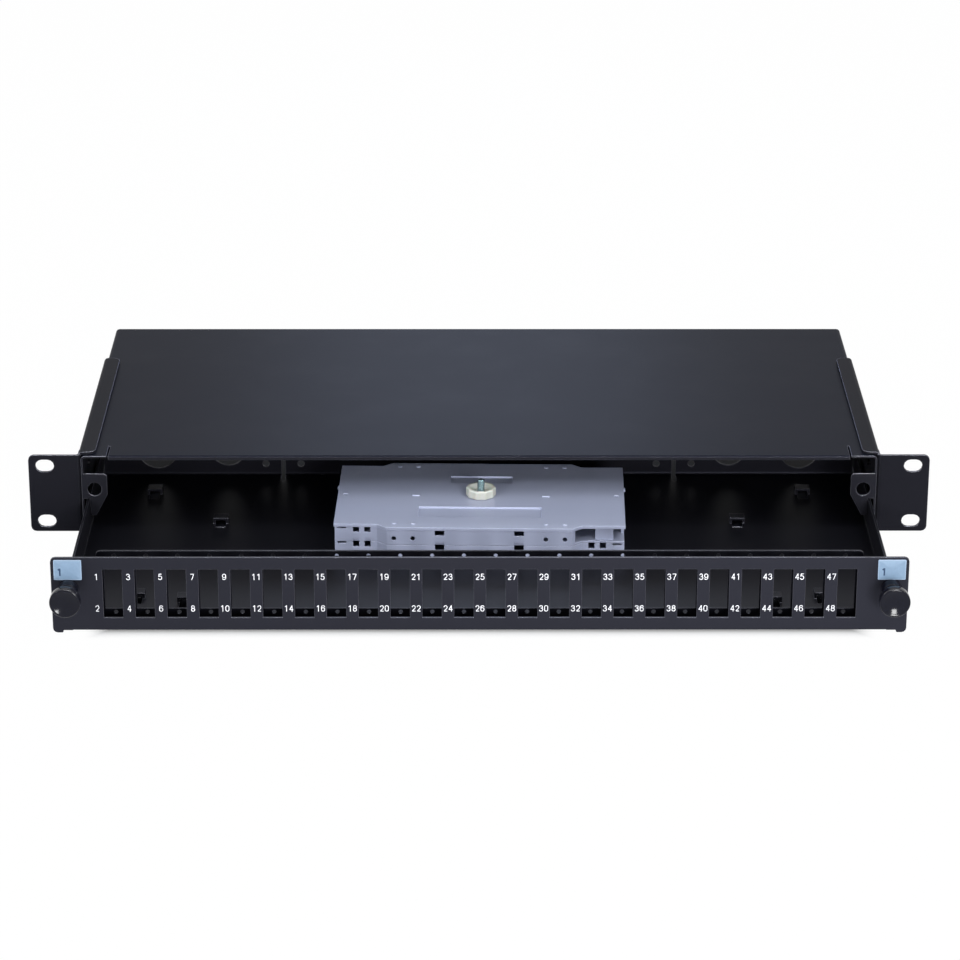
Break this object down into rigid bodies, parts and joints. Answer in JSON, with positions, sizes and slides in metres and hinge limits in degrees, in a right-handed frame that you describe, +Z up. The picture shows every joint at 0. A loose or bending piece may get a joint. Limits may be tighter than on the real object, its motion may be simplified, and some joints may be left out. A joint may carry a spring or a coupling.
{
  "type": "fiber distribution box",
  "caption": "One-unit rack housing with a sliding drawer: a slotted port panel in front, snap latches, cable entries behind and a stack of splice trays on a stud.",
  "frame": {"origin": "middle of the footprint at the height of the base plate's underside, with the drawer at rest partly pulled out", "axes": "+X to the right seen from the front, +Y from the port panel towards the rear of the housing, +Z up"},
  "size_m": [0.4826, 0.3578, 0.0452],
  "materials": {
    "black_powder_coat": "fine black powder coat on steel sheet",
    "bracket_powder_coat": "fine black powder coat on thicker steel sheet",
    "blackened_screw": "blackened steel",
    "label_blue": "light blue printed label on thin plastic",
    "latch_nylon": "black nylon, slightly glossy",
    "tray_plastic": "light grey moulded ABS",
    "holder_rubber": "dark soft rubber",
    "stud_zinc": "bright zinc plate",
    "nut_nylon": "natural cream nylon"
  },
  "bodies": {
    "housing": {"housing_shell": "black_powder_coat", "base_plate": "black_powder_coat", "rack_bracket_left": "bracket_powder_coat", "rack_bracket_right": "bracket_powder_coat", "housing_screw_left_1": "blackened_screw", "housing_screw_left_2": "blackened_screw", "housing_screw_left_3": "blackened_screw", "housing_screw_left_4": "blackened_screw", "housing_screw_right_1": "blackened_screw", "housing_screw_right_2": "blackened_screw", "housing_screw_right_3": "blackened_screw", "housing_screw_right_4": "blackened_screw"},
    "drawer": {"drawer_tray": "black_powder_coat", "front_panel": "black_powder_coat", "adapter_plate": "black_powder_coat", "label_plate_left": "label_blue", "label_plate_right": "label_blue", "latch_bushing_left": "latch_nylon", "latch_bushing_right": "latch_nylon", "tray_stud": "stud_zinc"},
    "latch_left": {"latch_plunger_left": "latch_nylon"},
    "latch_right": {"latch_plunger_right": "latch_nylon"},
    "tray_stack": {"splice_tray_lower": "tray_plastic", "splice_tray_upper": "tray_plastic", "splice_tray_lid": "tray_plastic", "splice_holder_lower_front": "holder_rubber", "splice_holder_lower_back": "holder_rubber", "splice_holder_upper_front": "holder_rubber", "splice_holder_upper_back": "holder_rubber"},
    "tray_nut": {"tray_nut": "nut_nylon"}
  },
  "joints": [
    {"name": "drawer_slide", "type": "slide", "parent": "housing", "child": "drawer", "axis": [0, -1, 0], "range_m": [-0.1309, 0.0757]},
    {"name": "latch_slide_left", "type": "slide", "parent": "drawer", "child": "latch_left", "axis": [0, 1, 0], "range_m": [0, 0.007]},
    {"name": "latch_slide_right", "type": "slide", "parent": "drawer", "child": "latch_right", "axis": [0, 1, 0], "range_m": [0, 0.007]},
    {"name": "tray_turn", "type": "hinge", "parent": "drawer", "child": "tray_stack", "pos_m": [0.001, -0.02715, 0.0029], "axis": [0, 0, 1], "range_deg": [-25, 25]},
    {"name": "nut_turn", "type": "hinge", "parent": "drawer", "child": "tray_nut", "pos_m": [0.001, -0.02715, 0.0216], "axis": [0, 0, 1], "continuous": true}
  ]
}
